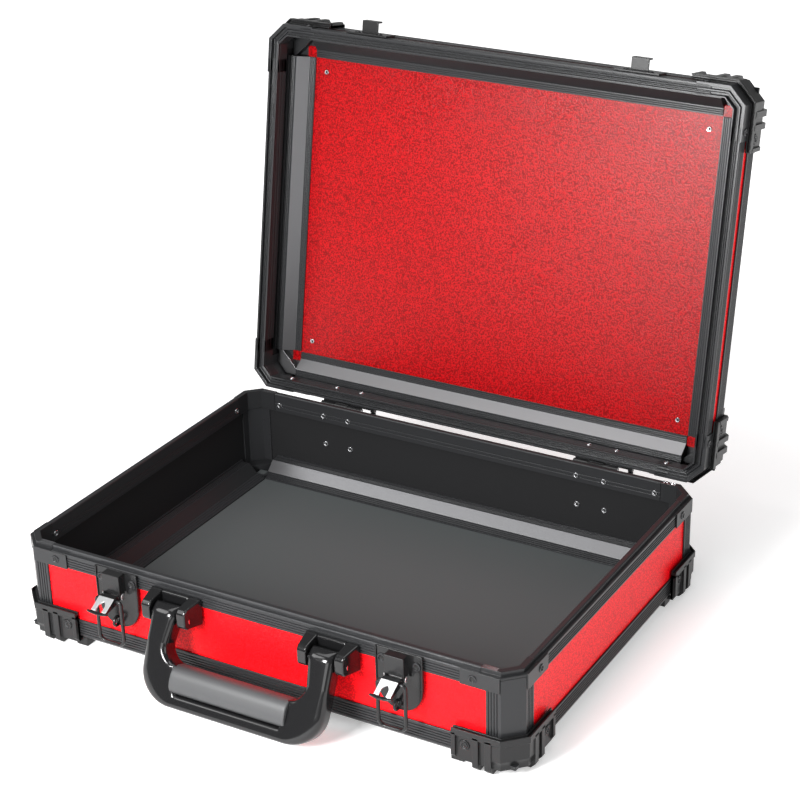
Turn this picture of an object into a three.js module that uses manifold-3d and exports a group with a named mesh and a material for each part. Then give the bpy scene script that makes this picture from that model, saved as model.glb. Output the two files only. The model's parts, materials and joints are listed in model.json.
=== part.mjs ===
// Attache case: textured red panels held in black extruded aluminium frames, cast rim caps, moulded
// corner protectors that double as feet, two draw latches with wire bails, two hinges and a swing
// handle. Modelled open, as it stands on a table: millimetres, +Z up, front towards -Y.
// The origin is the middle of the bounding box, on the plane that the feet stand on.

import * as THREE from 'three';
import { mergeVertices } from 'three/addons/utils/BufferGeometryUtils.js';
import Module from 'manifold-3d';

const wasm = await Module();
wasm.setup();

// Case body. Heights are measured from the shoulder of the base rim (z = 0) while modelling.
const WIDTH = 460;
const DEPTH = 340;
const CORNER = 14; // leg of the 45 degree corner
const BASE_LOW = -77.2; // outer face of the bottom edge
const LID_HIGH = 38.7; // outer face of the lid's top edge, lid closed
const FEET = 8.8; // feet stand this far out of the bottom and the top
const GAP = 0.3; // clearance between touching pieces
const OPEN_ANGLE = 100; // degrees that the lid stands open

// Lengths of extrusion stop short of the corners.
const RIM_END = 32;
const EDGE_END = 30;
const WALL_END = 15.8;
const WALL_OUT = 1.5;
const WALL_IN = 4.5;
const SHEET = { inset: 20.3, low: 1.3, high: 3.4 };
const BASE_LIP = 35; // inner end of the edge frame's flat lip
const LID_LIP = 29.6;

// Rims: a raised tongue on the base, a groove over it in the lid
const TONGUE = { from: 2.6, to: 7.6, rise: 3.6 };
const SKIRT = 13; // outer leg of a base rim below the shoulder
const INNER_SKIRT = 14.3;
const LID_ROOF = { low: 4.3, high: 6.2 };
const LID_INNER = { from: 8.6, to: 9.9, high: 15 };
const CAP_BODY = 31.7;
const CAP_REACH = 48; // end of a cap's outer skin, from the virtual corner
const SKIN = { near: 0.3, far: 1.1 };

// Corner protectors, height w from the outer face of the bottom
const GUARD = {
  reach: 54,
  top: 25.2,
  collar: 19.4,
  plate: 2.5,
  proud: 4.8,
  sole: 2.8,
  ribs: [[20, 26], [31, 36], [50.5, 54]],
  chamfer: 4,
};

// Hinges, y from the back face
const HINGE_X = 131;
const HINGE = { y: 4, z: -1, r: 3, bore: 1.6, pin: 1.3, half: 21.25, leaf: 1.5, off: 0.3 };
const BASE_LEAF = 45;
const LID_LEAF = { low: 1.5, high: 20 };
const STOP = { from: 30, to: 34, out: 3.2, low: 1, high: 5, shelf: 9.5 };

// Latches, y from the front face and outward negative
const LATCH_X = 131;
const PLATE = { half: 20.5, height: 52, thick: 1.5 };
const HOUSING = { half: 8.5, out: 10, top: -0.5, bottom: -17, wall: 1.2 };
const LEVER = { y: -6.5, z: -19.5, half: 7.5, root: 6.9, wall: 1.3, lip: 10 };
const BAIL = { y: -14, z: -21, half: 12, r: 1.6, length: 40.5, bend: 6, end: 5.6 };
const LUG = { low: -50, high: -40, out: -11.2, half: 1.5, hole: 2.6 };
const STRIKE = { half: 20.5, low: 3, high: 20, hook: 8 };

// Handle
const BRACKET = { x: 72.5, half: 22.5, slot: 12.5, out: -21, back: -4 };
const PIVOT = { y: -14, z: -18.5, r: 2.5 };
const HANDLE = { tilt: 24, outer: 84, arm: 23, waist: 18, length: 70, half: 9.5, inner: 36, finger: 61 };
const GRIP = { half: 53, near: 35, far: 59, thick: 12.5, core: 4 };

const RAD = Math.PI / 180;

const anodised = { color: 0x2a2b2d, roughness: 0.42, metalness: 0.8 };
const plastic = { color: 0x1d1e20, roughness: 0.45, metalness: 0 };
const gloss = { color: 0x0c0c0d, roughness: 0.15, metalness: 0 };
const enamel = { color: 0x0e0e10, roughness: 0.2, metalness: 0.6 };
const red = { color: 0xd4141c, roughness: 0.5, metalness: 0 };
const liner = { color: 0x2c2d2f, roughness: 0.6, metalness: 0 };
const soft = { color: 0x35373a, roughness: 0.6, metalness: 0 };
const steel = { color: 0xb8bcc0, roughness: 0.3, metalness: 1 };

// ---- solids -------------------------------------------------------------------------------------

function toSolid(geometry) {
  const g = geometry.clone();
  g.deleteAttribute('normal');
  g.deleteAttribute('uv');
  const merged = mergeVertices(g, 1e-4);
  return new wasm.Manifold(
    new wasm.Mesh({
      numProp: 3,
      vertProperties: new Float32Array(merged.attributes.position.array),
      triVerts: new Uint32Array(merged.index.array),
    }),
  );
}

function toGeometry(solid) {
  const m = solid.getMesh();
  const g = new THREE.BufferGeometry();
  g.setAttribute('position', new THREE.BufferAttribute(new Float32Array(m.vertProperties), 3));
  g.setIndex(new THREE.BufferAttribute(new Uint32Array(m.triVerts), 1));
  g.computeVertexNormals();
  return g;
}

function sub(name, solid, look) {
  const mesh = new THREE.Mesh(toGeometry(solid), new THREE.MeshStandardMaterial(look));
  mesh.name = name;
  return mesh;
}

function outline(points) {
  return new THREE.Shape(points.map(([x, y]) => new THREE.Vector2(x, y)));
}

// A shape in local x, y carried along local z from z0 to z1.
function extrude(shape, z0, z1, curveSegments = 6) {
  const options = { depth: z1 - z0, bevelEnabled: false, curveSegments, steps: 1 };
  const g = new THREE.ExtrudeGeometry(shape, options);
  g.translate(0, 0, z0);
  return toSolid(g);
}

// A section drawn in (y, z) and carried along x.
function alongX(shape, x0, x1, curveSegments = 6) {
  return extrude(shape, x0, x1, curveSegments).transform([0, 1, 0, 0, 0, 0, 1, 0, 1, 0, 0, 0, 0, 0, 0, 1]);
}

function box(x0, x1, y0, y1, z0, z1) {
  const g = new THREE.BoxGeometry(x1 - x0, y1 - y0, z1 - z0);
  g.translate((x0 + x1) / 2, (y0 + y1) / 2, (z0 + z1) / 2);
  return toSolid(g);
}

// A round bar along x, centred on (y, z).
function barX(radius, x0, x1, y, z, segments = 16) {
  const g = new THREE.CylinderGeometry(radius, radius, x1 - x0, segments);
  g.rotateZ(Math.PI / 2);
  g.translate((x0 + x1) / 2, y, z);
  return toSolid(g);
}

// ---- sides of the case --------------------------------------------------------------------------
// On a side, local x runs along it, local y inward from the outer face and local z up.

const SIDES = [
  { name: 'front', turn: 0, half: DEPTH / 2, run: WIDTH / 2, long: true },
  { name: 'right', turn: 90, half: WIDTH / 2, run: DEPTH / 2, long: false },
  { name: 'back', turn: 180, half: DEPTH / 2, run: WIDTH / 2, long: true },
  { name: 'left', turn: 270, half: WIDTH / 2, run: DEPTH / 2, long: false },
];

function onSide(solid, side) {
  return solid.translate([0, -side.half, 0]).rotate([0, 0, side.turn]);
}

// Corners, named by their place; the model corner is front right.
const CORNERS = [
  { name: 'front_right', x: 1, y: -1 },
  { name: 'front_left', x: -1, y: -1 },
  { name: 'back_right', x: 1, y: 1 },
  { name: 'back_left', x: -1, y: 1 },
];

// Takes a solid of the front right corner to another corner, keeping its faces outward.
function onCorner(solid, corner) {
  let out = solid;
  if (corner.x < 0) out = out.mirror([1, 0, 0]);
  if (corner.y > 0) out = out.mirror([0, 1, 0]);
  return out;
}

// Plan outline of the case moved outward by grow; the 45 degree faces move out by as much.
function planPoints(grow) {
  const w = WIDTH / 2 + grow;
  const d = DEPTH / 2 + grow;
  const c = CORNER + grow * (2 - Math.SQRT2);
  return [
    [w - c, -d], [w, -d + c], [w, d - c], [w - c, d],
    [-w + c, d], [-w, d - c], [-w, -d + c], [-w + c, -d],
  ];
}

function planPrism(grow, z0, z1) {
  return extrude(outline(planPoints(grow)), z0, z1);
}

// A prism on a plan drawn in (inward from the right side, inward from the front).
function cornerPrism(points, z0, z1) {
  const plan = points.map(([a, b]) => [WIDTH / 2 - a, -DEPTH / 2 + b]);
  return extrude(outline(plan), z0, z1);
}

// The band between two offsets of the plan, cut to one corner.
function cornerBand(from, to, z0, z1, reach) {
  const band = planPrism(-from, z0, z1).subtract(planPrism(-to, z0 - 1, z1 + 1));
  const far = WIDTH / 2 + 20;
  const window = box(WIDTH / 2 - reach, far, -far, -DEPTH / 2 + reach, z0 - 2, z1 + 2);
  return band.intersect(window);
}

// ---- frame and panels ---------------------------------------------------------------------------

// Rim extrusions in (inward, up).
const BASE_RIM = [
  [0, -SKIRT], [1.2, -SKIRT], [1.2, -2], [6.3, -2], [6.3, -INNER_SKIRT], [7.6, -INNER_SKIRT],
  [7.6, 2.8], [6.8, 3.6], [3.4, 3.6], [2.6, 2.8], [2.6, 0], [0, 0],
];

const LID_RIM = [
  [0, 0.3], [2, 0.3], [2, 4.3], [8.6, 4.3], [8.6, 0.3], [9.9, 0.3], [9.9, 15], [8.6, 15],
  [8.6, 6.2], [5.8, 6.2], [5.8, 9], [4.8, 9], [4.8, 6.2], [1.2, 6.2], [1.2, 12.5], [0, 12.5],
];

// Edge frame in (inward, height over the outer face), with a slot for the sheet and one for the wall.
function edgeSection(lip) {
  return [
    [2.5, 0], [29.6, 0], [29.6, 1], [20, 1], [20, 3.7], [lip, 3.7], [lip, 4.7], [22.6, 4.7],
    [14, 13.3], [6.5, 13.3], [6.5, 15], [4.8, 15], [4.8, 4.7], [1.2, 4.7], [1.2, 17.5],
    [0, 17.5], [0, 2.5],
  ];
}

const GUSSET = [[31, 6.5], [31, 9], [9, 31], [6.5, 31], [6.5, 16.5], [16.5, 6.5]];

const POST = [
  [27, 0], [14, 0], [0, 14], [0, 27], [1.2, 27], [1.2, 15.5], [4.8, 15.5], [4.8, 24], [6, 24],
  [6, 16], [16, 6], [24, 6], [24, 4.8], [15.5, 4.8], [15.5, 1.2], [27, 1.2],
];

function sideLength(side, section, end) {
  const run = side.run - end;
  return onSide(alongX(outline(section), -run, run), side);
}

function wallPanel(side, z0, z1) {
  const run = side.run - WALL_END;
  return onSide(box(-run, run, WALL_OUT, WALL_IN, z0, z1), side);
}

// Four mitre-free lengths joined at the corners by gussets: one welded frame.
function edgeFrame(lip) {
  let frame = cornerPieces(cornerPrism(GUSSET, 1, 8));
  for (const side of SIDES) frame = frame.add(sideLength(side, edgeSection(lip), EDGE_END));
  return frame;
}

function cornerPieces(solid) {
  return CORNERS.map((corner) => onCorner(solid, corner)).reduce((a, b) => a.add(b));
}

function sheetPanel() {
  const x = WIDTH / 2 - SHEET.inset;
  const y = DEPTH / 2 - SHEET.inset;
  return box(-x, x, -y, y, SHEET.low, SHEET.high);
}

// Outer skins of a cap, on both sides of the plain 45 degree face, with a sloping lower end.
function capSkins(z0, z1) {
  const skins = cornerBand(-SKIN.far, -SKIN.near, z0, z1, CAP_REACH);
  const end = CORNER + 0.5;
  const reach = -9;
  const bare = [[reach, reach], [end, reach], [end, 0.2], [0.2, end], [reach, end]];
  return skins.subtract(cornerPrism(bare, z0 - 1, z1 + 1));
}

function capNeck(z0, z1) {
  const neck = cornerBand(-SKIN.far, 1, z0, z1, CAP_BODY);
  const end = CORNER + 0.5;
  const reach = -9;
  const bare = [[reach, reach], [end, reach], [end, 0], [0, end], [reach, end]];
  return neck.subtract(cornerPrism(bare, z0 - 1, z1 + 1));
}

// Cast cap at the top corner of the base.
function baseCap() {
  return cornerBand(0, TONGUE.to, -2, 0, CAP_BODY)
    .add(cornerBand(TONGUE.from, TONGUE.to, -1, TONGUE.rise, CAP_BODY))
    .add(cornerBand(6.3, TONGUE.to, -INNER_SKIRT, 0, CAP_BODY))
    .add(capNeck(-2, 0))
    .add(capSkins(-SKIRT - GAP, 0));
}

// Corner of the lid: its short post and rim cap are one casting.
function lidCorner() {
  return cornerBand(0, LID_INNER.to, LID_ROOF.low, LID_ROOF.high, CAP_BODY)
    .add(cornerBand(0, 2, 0.3, LID_ROOF.high, CAP_BODY))
    .add(cornerBand(LID_INNER.from, LID_INNER.to, 0.3, LID_INNER.high, CAP_BODY))
    .add(capNeck(LID_ROOF.low, LID_ROOF.high))
    .add(capSkins(0.3, 12.5))
    .add(cornerPrism(POST, LID_ROOF.low + 1, LID_HIGH - 0.2));
}

// ---- corner protector ---------------------------------------------------------------------------
// Front right bottom corner, with the outer face of the bottom at z = 0 and the case above it.

function protector() {
  const g = GUARD;
  const low = -g.sole;
  const far = WIDTH;
  const reach = g.reach;
  const window = box(WIDTH / 2 - reach, far, -far, -DEPTH / 2 + reach, -FEET - 1, g.top + 1);
  const inside = planPrism(GAP, -GAP, g.top + 5);
  let body = planPrism(g.plate, low, g.top - 1.5).add(planPrism(g.proud - 1, g.collar, g.top));
  body = body.intersect(window);

  // ribs run down the side faces and turn under the case as short bars
  const bar = (rib, deep, foot) => {
    const [a, b] = rib;
    const c = g.chamfer;
    const top = g.top - 2;
    const section = [[deep, foot], [-g.proud + c, foot], [-g.proud, foot + c], [-g.proud, top], [deep, top]];
    const front = alongX(outline(section), WIDTH / 2 - b, WIDTH / 2 - a).translate([0, -DEPTH / 2, 0]);
    const side = alongX(outline(section), DEPTH / 2 - b, DEPTH / 2 - a).mirror([1, 0, 0]);
    return front.add(side.translate([0, -WIDTH / 2, 0]).rotate([0, 0, 90]));
  };
  const [inner, middle, end] = g.ribs;
  body = body.add(bar(inner, 18, -FEET)).add(bar(middle, 18, -FEET)).add(bar(end, 6, low - 1));

  // feet under each side of the corner, and a second pair further along
  const foot = cornerPrism([[36, 1], [20, 1], [20, 18], [36, 18]], -FEET, low + 1);
  const footSide = cornerPrism([[1, 36], [18, 36], [18, 20], [1, 20]], -FEET, low + 1);
  const second = cornerPrism([[58, 3], [47, 3], [47, 34], [58, 34]], -FEET, low + 1);
  const secondSide = cornerPrism([[3, 58], [34, 58], [34, 47], [3, 47]], -FEET, low + 1);
  const shelf = cornerPrism([[58, 3], [3, 3], [3, 58], [34, 58], [34, 34], [58, 34]], low, -GAP);
  body = body.add(foot).add(footSide).add(second).add(secondSide).add(shelf);
  return body.subtract(inside);
}

// ---- hinge --------------------------------------------------------------------------------------

const KNUCKLES = [
  { from: -21.25, to: -7.3, lid: false },
  { from: -7, to: 7, lid: true },
  { from: 7.3, to: 21.25, lid: false },
];

function hingeLeaf(forLid) {
  const h = HINGE;
  const sheet = (x0, x1, z0, z1) => box(x0, x1, h.off, h.off + h.leaf, z0, z1);
  let leaf = forLid
    ? sheet(-h.half, STOP.to, LID_LEAF.low, LID_LEAF.high)
    : sheet(-h.half, STOP.to, -BASE_LEAF, -4.6);
  for (const k of KNUCKLES.filter((item) => item.lid === forLid)) {
    leaf = leaf.add(barX(h.r, k.from, k.to, h.y, h.z));
    leaf = leaf.add(forLid ? sheet(k.from, k.to, h.z, 3) : sheet(k.from, k.to, -6, h.z));
  }
  // a tab on the lid leaf comes down on a shelf of the base leaf when the lid is fully open
  leaf = forLid
    ? leaf.add(box(STOP.from, STOP.to, h.off, STOP.out, STOP.low, STOP.high))
    : leaf.add(box(STOP.from, STOP.to, h.off, STOP.shelf, -5.6, -1.6));
  return leaf.subtract(barX(h.bore, -30, 22, h.y, h.z));
}

function atBack(solid, x) {
  return solid.translate([x, DEPTH / 2, 0]);
}

// ---- latch --------------------------------------------------------------------------------------

function latchPlate() {
  const w = PLATE.half;
  const front = -GAP - PLATE.thick;
  const shape = new THREE.Shape();
  shape.moveTo(-w, 0);
  shape.lineTo(-w, -26);
  shape.bezierCurveTo(-w, -42, -12, -PLATE.height, 0, -PLATE.height);
  shape.bezierCurveTo(12, -PLATE.height, w, -42, w, -26);
  shape.lineTo(w, 0);
  const sheet = extrude(shape, 0, PLATE.thick, 6).rotate([90, 0, 0]).translate([0, -GAP, 0]);
  const h = HOUSING;
  const shell = box(-h.half, h.half, -h.out, front + 0.5, h.bottom, h.top);
  const room = box(-h.half + h.wall, h.half - h.wall, -h.out + h.wall, front, -30, h.top - h.wall);
  const ear = (s) => {
    const a = Math.min(s * h.half, s * (h.half - h.wall));
    return barX(2.8, a, a + h.wall, LEVER.y, LEVER.z)
      .add(box(a, a + h.wall, LEVER.y - 2.8, front + 0.5, LEVER.z, h.bottom + 1));
  };
  const pin = barX(1.2, -h.half + 0.4, h.half - 0.4, LEVER.y, LEVER.z, 12);
  const lug = box(-LUG.half, LUG.half, LUG.out, front + 0.5, LUG.low, LUG.high)
    .subtract(barX(LUG.hole, -5, 5, LUG.out + 5, (LUG.low + LUG.high) / 2, 14));
  return sheet.add(shell.subtract(room)).add(ear(1)).add(ear(-1)).add(pin).add(lug);
}

// Draw lever in its rest place: a channel with its top face outward, pivoted at its root.
function lever() {
  const l = LEVER;
  const wide = outline([
    [-10.2, -17.6], [-16, -17.6], [-28, -24.5], [-31, -26], [-30.6, -27], [-28.6, -26.4],
    [-19, -25], [-10.2, -23],
  ]);
  const narrow = outline([[-5, -17.4], [-12, -17.6], [-12, -21.6], [-5, -21.6]]);
  const hub = barX(2.2, -l.root, l.root, l.y, l.z);
  const hollow = outline([
    [-12.5, -19], [-16.3, -19], [-27.6, -25.6], [-27.6, -40], [-12.5, -40],
  ]);
  const inner = l.half - l.wall;
  const slot = box(-3, 3, -29.2, -21.5, -40, -10);
  const lip = outline([[-27.4, -24.1], [-32, -24.4], [-32.2, -25.9], [-28.6, -26.2]]);
  let body = alongX(wide, -l.half, l.half).add(alongX(narrow, -l.root, l.root)).add(hub);
  body = body.add(alongX(lip, -l.lip, l.lip));
  body = body.subtract(alongX(hollow, -inner, inner)).subtract(slot);
  body = body.subtract(barX(1.6, -20, 20, l.y, l.z, 12));
  return body.subtract(barX(BAIL.r + GAP, -20, -inner + 1.5, BAIL.y, BAIL.z))
    .subtract(barX(BAIL.r + GAP, inner - 1.5, 20, BAIL.y, BAIL.z));
}

// Wire bail hanging from the lever: its ends turn inward through the lever's cheeks.
function bail() {
  const { half, bend, length, end } = BAIL;
  const corner = 2.6;
  const points = [[end, 0], [half - corner, 0]];
  const arc = (cx, cz, radius, from, to, steps) => {
    for (let i = 0; i <= steps; i++) {
      const a = (from + ((to - from) * i) / steps) * RAD;
      points.push([cx + radius * Math.cos(a), cz + radius * Math.sin(a)]);
    }
  };
  arc(half - corner, -corner, corner, 90, 0, 4);
  arc(half - bend, -length + bend, bend, 0, -90, 6);
  const right = points.map(([x, z]) => new THREE.Vector3(x, 0, z));
  const left = right.map((v) => new THREE.Vector3(-v.x, 0, v.z)).reverse();
  return wire([...right, ...left]).translate([0, BAIL.y, BAIL.z]);
}

// A round wire along a flat line of points in the x-z plane, mitred at each point.
function wire(points) {
  const sides = 12;
  const position = [];
  const index = [];
  const last = points.length - 1;
  points.forEach((point, i) => {
    const before = points[Math.max(i - 1, 0)];
    const after = points[Math.min(i + 1, last)];
    const dirIn = new THREE.Vector3().subVectors(point, before).normalize();
    const dirOut = new THREE.Vector3().subVectors(after, point).normalize();
    const tangent = dirIn.add(dirOut).normalize();
    const across = new THREE.Vector3(-tangent.z, 0, tangent.x);
    for (let k = 0; k < sides; k++) {
      const a = (2 * Math.PI * k) / sides;
      position.push(
        point.x + BAIL.r * Math.cos(a) * across.x,
        point.y + BAIL.r * Math.sin(a),
        point.z + BAIL.r * Math.cos(a) * across.z,
      );
    }
  });
  for (let i = 0; i < last; i++) {
    for (let k = 0; k < sides; k++) {
      const a = i * sides + k;
      const b = i * sides + ((k + 1) % sides);
      index.push(a, a + sides, b, b, a + sides, b + sides);
    }
  }
  for (let k = 1; k < sides - 1; k++) {
    index.push(0, k, k + 1);
    const start = last * sides;
    index.push(start, start + k + 1, start + k);
  }
  const g = new THREE.BufferGeometry();
  g.setAttribute('position', new THREE.Float32BufferAttribute(position, 3));
  g.setIndex(index);
  return toSolid(g);
}

// Strike on the lid: a riveted plate with an upturned hook.
function strike() {
  const s = STRIKE;
  const plate = box(-s.half, s.half, -GAP - PLATE.thick, -GAP, s.low, s.high);
  const hook = outline([
    [-1, 9.9], [-1, 11.4], [-10.9, 11.4], [-10.9, 17.5], [-12.4, 17.5], [-12.4, 9.9],
  ]);
  return plate.add(alongX(hook, -s.hook, s.hook));
}

function atFront(solid, x) {
  return solid.translate([x, -DEPTH / 2, 0]);
}

// ---- handle -------------------------------------------------------------------------------------

function bracket() {
  const b = BRACKET;
  const shape = new THREE.Shape();
  shape.moveTo(-GAP, -5);
  shape.lineTo(-16, -7.2);
  shape.quadraticCurveTo(b.out, -8.2, b.out, -12.5);
  shape.lineTo(b.out, -21);
  shape.quadraticCurveTo(b.out, -25, -16, -25.6);
  shape.lineTo(-GAP, -28);
  const block = alongX(shape, -b.half, b.half, 4);
  const room = box(-b.slot, b.slot, -40, b.back, -40, 10);
  return block.subtract(room).subtract(barX(PIVOT.r + GAP, -40, 40, PIVOT.y, PIVOT.z));
}

// Handle frame hanging straight down from its pivot: two arms and a rounded bottom bar.
function handleFrame() {
  const h = HANDLE;
  const g = GRIP;
  const shape = new THREE.Shape();
  const inset = h.outer - h.waist;
  shape.moveTo(-h.outer, 0);
  shape.lineTo(-h.outer, -44);
  shape.bezierCurveTo(-h.outer, -60, -h.outer + 10, -h.length, -h.outer + 28, -h.length);
  shape.lineTo(h.outer - 28, -h.length);
  shape.bezierCurveTo(h.outer - 10, -h.length, h.outer, -60, h.outer, -44);
  shape.lineTo(h.outer, 0);
  shape.lineTo(h.outer - h.arm, 0);
  shape.lineTo(inset, -22);
  shape.quadraticCurveTo(inset, -h.inner + 2, h.finger - 6, -h.inner);
  shape.lineTo(-h.finger + 6, -h.inner);
  shape.quadraticCurveTo(-inset, -h.inner + 2, -inset, -22);
  shape.lineTo(-h.outer + h.arm, 0);
  let frame = extrude(shape, -h.half, h.half, 6).rotate([90, 0, 0]);
  const tops = outline([
    [-h.half, 0], [-h.half, -h.length + 3.2], [-h.half + 3.2, -h.length], [h.half - 3.2, -h.length],
    [h.half, -h.length + 3.2], [h.half, 0],
  ]);
  frame = frame.intersect(alongX(tops, -100, 100));
  for (const s of [-1, 1]) {
    const a = s > 0 ? h.outer - h.arm : -h.outer;
    frame = frame.add(barX(h.half, a, a + h.arm, 0, 0, 24));
  }
  const room = box(-g.half - GAP, g.half + GAP, -40, 40, -g.far - GAP, -20);
  const middle = -(g.near + g.far) / 2;
  const core = box(-g.half - 1, g.half + 1, -g.core, g.core, -g.far - 1, middle + 5);
  frame = frame.subtract(room).add(core);
  return frame.subtract(barX(PIVOT.r + GAP, -100, 100, 0, 0));
}

// Soft sleeve pressed over the core of the handle frame, open towards the frame's bottom bar.
function gripSleeve() {
  const g = GRIP;
  const middle = (g.near + g.far) / 2;
  const round = new THREE.Shape();
  round.absellipse(0, -middle, g.thick, (g.far - g.near) / 2, 0, 2 * Math.PI);
  const body = alongX(round, -g.half, g.half, 12);
  const core = g.core + GAP;
  return body.subtract(box(-100, 100, -core, core, -g.far - 5, -middle + 5 + GAP));
}

function handlePin() {
  return barX(PIVOT.r, -BRACKET.half + 1, BRACKET.half - 1, PIVOT.y, PIVOT.z);
}

// ---- assembly -----------------------------------------------------------------------------------

const model = new THREE.Group();
const base = new THREE.Group();
const lid = new THREE.Group();
const lidBody = new THREE.Group();
model.add(base, lid);
lid.add(lidBody);

// The lid turns about the hinge axis behind the back rim.
lid.position.set(0, DEPTH / 2 + HINGE.y, HINGE.z);
lid.rotation.x = -OPEN_ANGLE * RAD;
lidBody.position.set(0, -DEPTH / 2 - HINGE.y, -HINGE.z);

const atBottom = (solid) => solid.translate([0, 0, BASE_LOW]);
const atTop = (solid) => solid.mirror([0, 0, 1]).translate([0, 0, LID_HIGH]);
base.add(sub('base_edge_frame', atBottom(edgeFrame(BASE_LIP)), anodised));
base.add(sub('base_floor_panel', atBottom(sheetPanel()), liner));
lidBody.add(sub('lid_edge_frame', atTop(edgeFrame(LID_LIP)), anodised));
lidBody.add(sub('lid_top_panel', atTop(sheetPanel()), red));

for (const side of SIDES) {
  base.add(sub(`base_rim_${side.name}`, sideLength(side, BASE_RIM, RIM_END), anodised));
  base.add(sub(`base_wall_${side.name}`, wallPanel(side, -72.2, -2.3), red));
  lidBody.add(sub(`lid_rim_${side.name}`, sideLength(side, LID_RIM, RIM_END), anodised));
  lidBody.add(sub(`lid_wall_${side.name}`, wallPanel(side, 6.5, 33.7), red));
}

for (const corner of CORNERS) {
  const post = cornerPrism(POST, BASE_LOW + 0.2, -2.3);
  base.add(sub(`base_post_${corner.name}`, onCorner(post, corner), anodised));
  base.add(sub(`base_rim_cap_${corner.name}`, onCorner(baseCap(), corner), anodised));
  base.add(sub(`base_protector_${corner.name}`, onCorner(atBottom(protector()), corner), plastic));
  lidBody.add(sub(`lid_corner_${corner.name}`, onCorner(lidCorner(), corner), anodised));
  lidBody.add(sub(`lid_protector_${corner.name}`, onCorner(atTop(protector()), corner), plastic));
}

for (const [name, s] of [['left', -1], ['right', 1]]) {
  const pin = barX(HINGE.pin, -HINGE.half, HINGE.half, HINGE.y, HINGE.z, 12);
  base.add(sub(`hinge_base_leaf_${name}`, atBack(hingeLeaf(false), s * HINGE_X), enamel));
  base.add(sub(`hinge_pin_${name}`, atBack(pin, s * HINGE_X), steel));
  lidBody.add(sub(`hinge_lid_leaf_${name}`, atBack(hingeLeaf(true), s * HINGE_X), enamel));
  base.add(sub(`latch_plate_${name}`, atFront(latchPlate(), s * LATCH_X), enamel));
  base.add(sub(`latch_lever_${name}`, atFront(lever(), s * LATCH_X), enamel));
  base.add(sub(`latch_bail_${name}`, atFront(bail(), s * LATCH_X), enamel));
  lidBody.add(sub(`strike_${name}`, atFront(strike(), s * LATCH_X), enamel));
  base.add(sub(`handle_bracket_${name}`, atFront(bracket(), s * BRACKET.x), gloss));
  base.add(sub(`handle_pin_${name}`, atFront(handlePin(), s * BRACKET.x), steel));
}

const hang = (solid) => atFront(solid.rotate([-HANDLE.tilt, 0, 0]).translate([0, PIVOT.y, PIVOT.z]), 0);
base.add(sub('handle_frame', hang(handleFrame()), gloss));
base.add(sub('handle_grip', hang(gripSleeve()), soft));

// Stand the case on its feet, with the middle of its bounding box over the origin.
model.updateMatrixWorld(true);
const bounds = new THREE.Box3().setFromObject(model, true);
model.position.set(0, -(bounds.min.y + bounds.max.y) / 2, -bounds.min.z);

export default model;
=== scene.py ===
"""Looks of the attache case: fluted black extrusions, pebbled red panels, rivets, draw latches,
corner protectors and a swing handle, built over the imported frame. Lengths are metres.

Pieces are made in the case's own millimetres first: x to the right, y to the back and z up from the
shoulder of the base rim, with the lid closed. place() takes them to the row frame, and open_lid()
turns the lid's pieces about the hinge.
"""
import json
import math

import bpy
import numpy as np
from mathutils import Matrix, Vector


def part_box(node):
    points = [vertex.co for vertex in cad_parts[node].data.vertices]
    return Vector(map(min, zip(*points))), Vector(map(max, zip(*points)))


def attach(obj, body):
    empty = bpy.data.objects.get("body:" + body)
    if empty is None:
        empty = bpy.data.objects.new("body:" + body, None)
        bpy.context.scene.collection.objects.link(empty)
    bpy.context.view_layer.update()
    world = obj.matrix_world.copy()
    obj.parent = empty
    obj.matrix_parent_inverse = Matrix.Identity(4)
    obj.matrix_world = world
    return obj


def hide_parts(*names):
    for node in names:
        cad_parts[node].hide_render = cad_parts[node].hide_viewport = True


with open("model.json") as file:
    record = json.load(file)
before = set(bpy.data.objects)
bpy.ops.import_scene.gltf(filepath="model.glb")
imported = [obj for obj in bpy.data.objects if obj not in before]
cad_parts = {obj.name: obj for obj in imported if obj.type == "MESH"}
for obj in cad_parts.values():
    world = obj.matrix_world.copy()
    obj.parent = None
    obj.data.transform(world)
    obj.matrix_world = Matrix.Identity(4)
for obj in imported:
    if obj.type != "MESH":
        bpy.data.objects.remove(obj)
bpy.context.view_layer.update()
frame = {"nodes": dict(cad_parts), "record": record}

W, D = 460.0, 340.0
BASE_LOW, LID_HIGH = -77.2, 38.7
EDGE_END, RIM_END = 30.0, 32.0
LATCH_X, HINGE_X, BRACKET_X = 131.0, 131.0, 72.5
TONGUE = 3.6                      # height of the base rim's tongue over its shoulder
CHAMFER = 14.0                    # 45 degree cut at each corner, along either wall
LIP_BASE, LIP_LID = 35.0, 29.6    # how far the edge frames reach in from the walls
GROOVE, GROOVE_HALF = 0.8, 0.65   # depth and half width of the outside flutes
GUARD_REACH, GUARD_OUT, GUARD_TOP = 54.0, 4.8, 25.2
FOOT, SOLE = 8.8, 2.8             # protector ribs and shelf under the case
LATCH_PIVOT = (6.5, -19.5)        # out from the front wall, and height

# the case's middle and shoulder height in the row frame, from the rims
front_rim, back_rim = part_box("base_rim_front"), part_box("base_rim_back")
MID_Y = (front_rim[0].y + back_rim[1].y) / 2
SHOULDER = front_rim[1].z - TONGUE / 1000
joints = {j["name"]: j for j in frame["record"]["behaviour"]["joints"]}
HINGE = np.array(joints["lid_hinge"]["pos_m"])
OPEN = math.radians(joints["lid_hinge"]["range_deg"][1])


# ---- placing ------------------------------------------------------------------------------------

def place(points):
    """Case millimetres to row-frame metres."""
    return np.asarray(points, float) / 1000.0 + np.array([0, MID_Y, SHOULDER])


def open_lid(points):
    """Closed-lid points turned back about the hinge by the opening angle."""
    c, s = math.cos(-OPEN), math.sin(-OPEN)
    turn = np.array([[1, 0, 0], [0, c, -s], [0, s, c]])
    return (points - HINGE) @ turn.T + HINGE


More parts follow.
